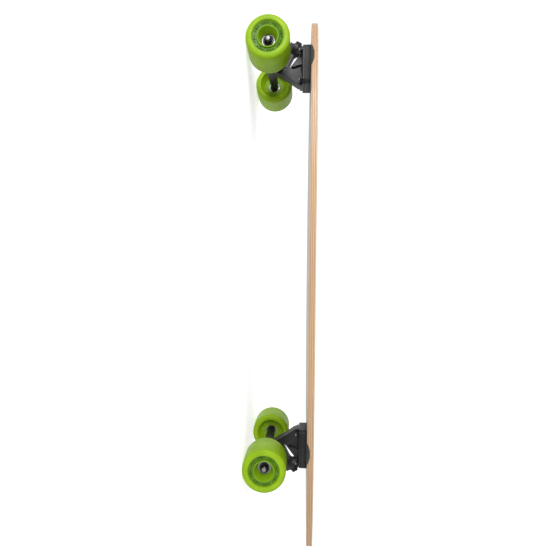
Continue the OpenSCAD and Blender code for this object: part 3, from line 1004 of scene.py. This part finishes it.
def face_marks(bm, place):
    """Plain raised ribs in the channel of the outer face, in groups of three with a gap between"""
    for k in range(MARK_COUNT):
        if k % 4 == 3:
            continue
        r0, r1 = (21.4 * MM, 24.4 * MM) if k % 4 == 1 else (22.2 * MM, 23.6 * MM)
        turn = Matrix.Rotation(2 * math.pi * k / MARK_COUNT, 4, "Z")
        rims = []
        for lift, shrink in ((-0.2 * MM, 0.0), (0.9 * MM, 0.0), (1.15 * MM, 0.2 * MM)):
            corners = []
            for r, w in ((r0 + shrink, -1), (r1 - shrink, -1), (r1 - shrink, 1), (r0 + shrink, 1)):
                h = HALF_WHEEL - FLOOR_DEPTH + CHANNEL_SLOPE * (r - CORE_R) + lift
                at = Vector((r, w * (MARK_HALF_WIDTH - shrink), h))
                corners.append(bm.verts.new(place @ turn @ at))
            rims.append(corners)
        capped_loft(bm, rims, MARK_MATERIAL)


def wheel_body(end, side):
    return "%s_%s_wheel" % (end, side)


def wheel_place(end, side):
    """Origin at the middle of a wheel, Z out along its axle"""
    turn = -math.pi / 2 if side == "left" else math.pi / 2
    centre = middle("%s_%s_tyre" % (end, side))
    return Matrix.Translation(centre) @ Matrix.Rotation(turn, 4, "X")


def tyre(end, side):
    """The tyre: tread, a darker channel in its outer face and the ribs that stand in it"""
    name = "%s_%s_tyre" % (end, side)
    bm = bmesh.new()
    place = wheel_place(end, side)
    lathe(bm, tyre_profile(), place, 192, TREAD_MATERIAL)
    back = place.inverted()
    channel_floor = HALF_WHEEL - FLOOR_DEPTH - 0.3 * MM
    channel_rim = CHANNEL_R + 0.6 * MM
    for f in bm.faces:
        at = back @ f.calc_center_median()
        if at.z > channel_floor and at.xy.length < channel_rim:
            f.material_index = CHANNEL_MATERIAL
    face_marks(bm, place)
    materials = [LIME, LIME_MARK, LIME_CHANNEL]
    piece("visual_" + name, bm, materials, wheel_body(end, side), [name], 50)


BEARING_R = 11 * MM
SEAT_R = BEARING_R + 0.02 * MM
STOP_R = 10 * MM
STOP_HALF = 5 * MM
HUB_R = 18.5 * MM


def core(end, side):
    """Moulded core: bearing seats at both ends, a stop between them and a funnel to the outer face"""
    name = "%s_%s_core" % (end, side)
    bm = bmesh.new()
    profile = rounded([
        (STOP_R, 0, 0), (STOP_R, STOP_HALF, 0), (SEAT_R, STOP_HALF, 0), (SEAT_R, 14 * MM, 0),
        (11.8 * MM, 14 * MM, 0.1 * MM), (16.8 * MM, CORE_OUTER, 0.5 * MM),
        (HUB_R, CORE_OUTER, 0.5 * MM), (HUB_R, -CORE_INNER, 0.3 * MM),
        (SEAT_R, -CORE_INNER, 0.3 * MM), (SEAT_R, -STOP_HALF, 0), (STOP_R, -STOP_HALF, 0),
    ], 3)
    lathe(bm, profile, wheel_place(end, side), 128)
    piece("visual_" + name, bm, [HUB], wheel_body(end, side), [name])


BEARING_AT = 8.5 * MM
BEARING_HALF = 3.5 * MM


def outer_rings(end, side):
    """Polished outer rings with dark dished seals on both faces"""
    name = "%s_%s_bearing_outer_rings" % (end, side)
    bm = bmesh.new()
    place = wheel_place(end, side)
    half = BEARING_HALF
    ring = rounded([
        (8.9 * MM, -half + 0.6 * MM, 0), (9.5 * MM, -half, 0.15 * MM),
        (BEARING_R, -half, 0.5 * MM), (BEARING_R, half, 0.5 * MM),
        (9.5 * MM, half, 0.15 * MM), (8.9 * MM, half - 0.6 * MM, 0),
    ])
    for at in (BEARING_AT, -BEARING_AT):
        middle_place = place @ Matrix.Translation((0, 0, at))
        lathe(bm, ring, middle_place, 96, 0)
        for face in (1, -1):
            seal = [
                (6.45 * MM, half - 0.15 * MM), (7.2 * MM, half - 0.3 * MM), (8.4 * MM, half - 0.3 * MM),
                (9.0 * MM, half - 0.1 * MM), (9.45 * MM, half - 0.12 * MM), (9.2 * MM, half - 0.5 * MM),
                (6.45 * MM, half - 0.5 * MM),
            ]
            lathe(bm, [(r, h * face) for r, h in seal], middle_place, 96, 1)
    materials = [RING_STEEL, SEAL]
    piece("visual_" + name, bm, materials, wheel_body(end, side), [name])


def keep_cad(node, material):
    """A CAD node whose shape is right gets its finish"""
    obj = frame["nodes"][node]
    obj.data.materials.clear()
    obj.data.materials.append(material)


deck()
grip_tape()
for end in ENDS:
    bevelled_piece(end + "_riser_pad", RISER, "board", 0.5 * MM)
    cast_piece(end, "baseplate", "board", 0.55 * MM)
    cast_piece(end, "hanger", end + "_truck", 0.6 * MM)
    kingpin(end)
    kingpin_nut(end)
    bushings(end)
    washers(end)
    mount_bolts(end)
    mount_nuts(end)
    axle(end)
    axle_nuts(end)
    keep_cad(end + "_pivot_cup", CUP)
    keep_cad(end + "_speed_washers", STEEL)
    keep_cad(end + "_bearing_spacers", STEEL)
    keep_cad(end + "_bearing_inner_rings", RING_STEEL)
    for side in SIDES:
        tyre(end, side)
        core(end, side)
        outer_rings(end, side)
        keep_cad("%s_%s_bearing_balls" % (end, side), BALL_STEEL)


# ---- Stage: floor, lights and camera ----

FLOOR_REACH = 30.0
SKY_BEHIND = 1.1        # brightness behind the board, toward -Y
SKY_ROUND = 0.62        # and everywhere else
SKY_EDGE = (-0.55, -0.3)
LIGHTS = (              # name, place, size in metres, power in watts
    ("key", (1.7, 2.25, 0.35), 1.4, 90),
    ("fill", (-1.5, 2.4, 0.6), 1.6, 16),
    ("over", (0.9, -0.2, 2.6), 2.2, 8),
)
CAMERA_LENS = 26.97
CAMERA_SENSOR = 36.0
CAMERA_ASTERN = 33.27 * MM      # behind the middle between the axles
CAMERA_AWAY = 814.82 * MM       # to the rider's left of the middle line
CAMERA_ABOVE = 57.46 * MM       # above the wheels' middles
CAMERA_TILT = (2.698, 0.568, -0.6455)


def floor():
    """Pale floor reaching far behind the board, glowing faintly as a lit table does"""
    m = Nodes("pale_floor")
    mottle = m.noise(3.0, 4, 0.5)
    low, high = (0.93, 0.93, 0.93), (0.95, 0.95, 0.95)
    m.colour(m.mix(m.ramp(mottle, (0.3, 0.0), (0.7, 1.0)), low, high))
    m.roughness(mottle, 0.75, 0.9)
    m.bump(m.noise(400.0, 3, 0.5), 0.0001, 0.2)
    m.set(Emission_Strength=0.5, Emission_Color=(1, 1, 1, 1), Specular_IOR_Level=0.1)
    bm = bmesh.new()
    corners = ((-1, -1), (1, -1), (1, 1), (-1, 1))
    bm.faces.new([bm.verts.new((x * FLOOR_REACH, y * FLOOR_REACH, 0)) for x, y in corners])
    mesh = bpy.data.meshes.new("floor")
    bm.to_mesh(mesh)
    bm.free()
    mesh.materials.append(m.material)
    obj = bpy.data.objects.new("floor", mesh)
    bpy.context.collection.objects.link(obj)


def area_light(name, place, target, size, power):
    """A square light aimed at a point"""
    data = bpy.data.lights.new(name, "AREA")
    data.size = size
    data.energy = power
    obj = bpy.data.objects.new(name, data)
    obj.location = place
    obj.rotation_euler = (Vector(target) - Vector(place)).to_track_quat("-Z", "Y").to_euler()
    bpy.context.collection.objects.link(obj)


def studio_sky():
    """White behind the board and a little dimmer all round"""
    world = bpy.data.worlds.new("studio")
    world.use_nodes = True
    tree = world.node_tree
    place = tree.nodes.new("ShaderNodeTexCoord")
    split = tree.nodes.new("ShaderNodeSeparateXYZ")
    tree.links.new(place.outputs["Generated"], split.inputs["Vector"])
    spread = tree.nodes.new("ShaderNodeMapRange")
    tree.links.new(split.outputs["Y"], spread.inputs["Value"])
    spread.inputs["From Min"].default_value = SKY_EDGE[0]
    spread.inputs["From Max"].default_value = SKY_EDGE[1]
    spread.inputs["To Min"].default_value = SKY_BEHIND
    spread.inputs["To Max"].default_value = SKY_ROUND
    sky = tree.nodes["Background"]
    sky.inputs["Color"].default_value = (1, 1, 1, 1)
    tree.links.new(spread.outputs["Result"], sky.inputs["Strength"])
    bpy.context.scene.world = world


def lights():
    centre = ((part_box("front_axle")[0].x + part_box("rear_axle")[1].x) / 2, 0, WHEEL_R)
    for name, place, size, power in LIGHTS:
        area_light(name, place, centre, size, power)
    studio_sky()


def camera():
    """Level with the board at its left side, rolled so that the nose points up in the frame"""
    data = bpy.data.cameras.new("camera")
    data.sensor_width = CAMERA_SENSOR
    data.lens = CAMERA_LENS
    obj = bpy.data.objects.new("camera", data)
    axle_middle = (middle("front_axle").x + middle("rear_axle").x) / 2
    place = Vector((axle_middle - CAMERA_ASTERN, CAMERA_AWAY, WHEEL_R + CAMERA_ABOVE))
    tilt = Euler([math.radians(a) for a in CAMERA_TILT], "XYZ").to_matrix()
    upright = Matrix(((0, 1, 0), (0, 0, 1), (1, 0, 0)))
    obj.matrix_world = Matrix.Translation(place) @ (tilt @ upright).to_4x4()
    bpy.context.collection.objects.link(obj)
    bpy.context.scene.camera = obj


floor()
lights()
camera()
bpy.context.scene.view_settings.view_transform = "Standard"
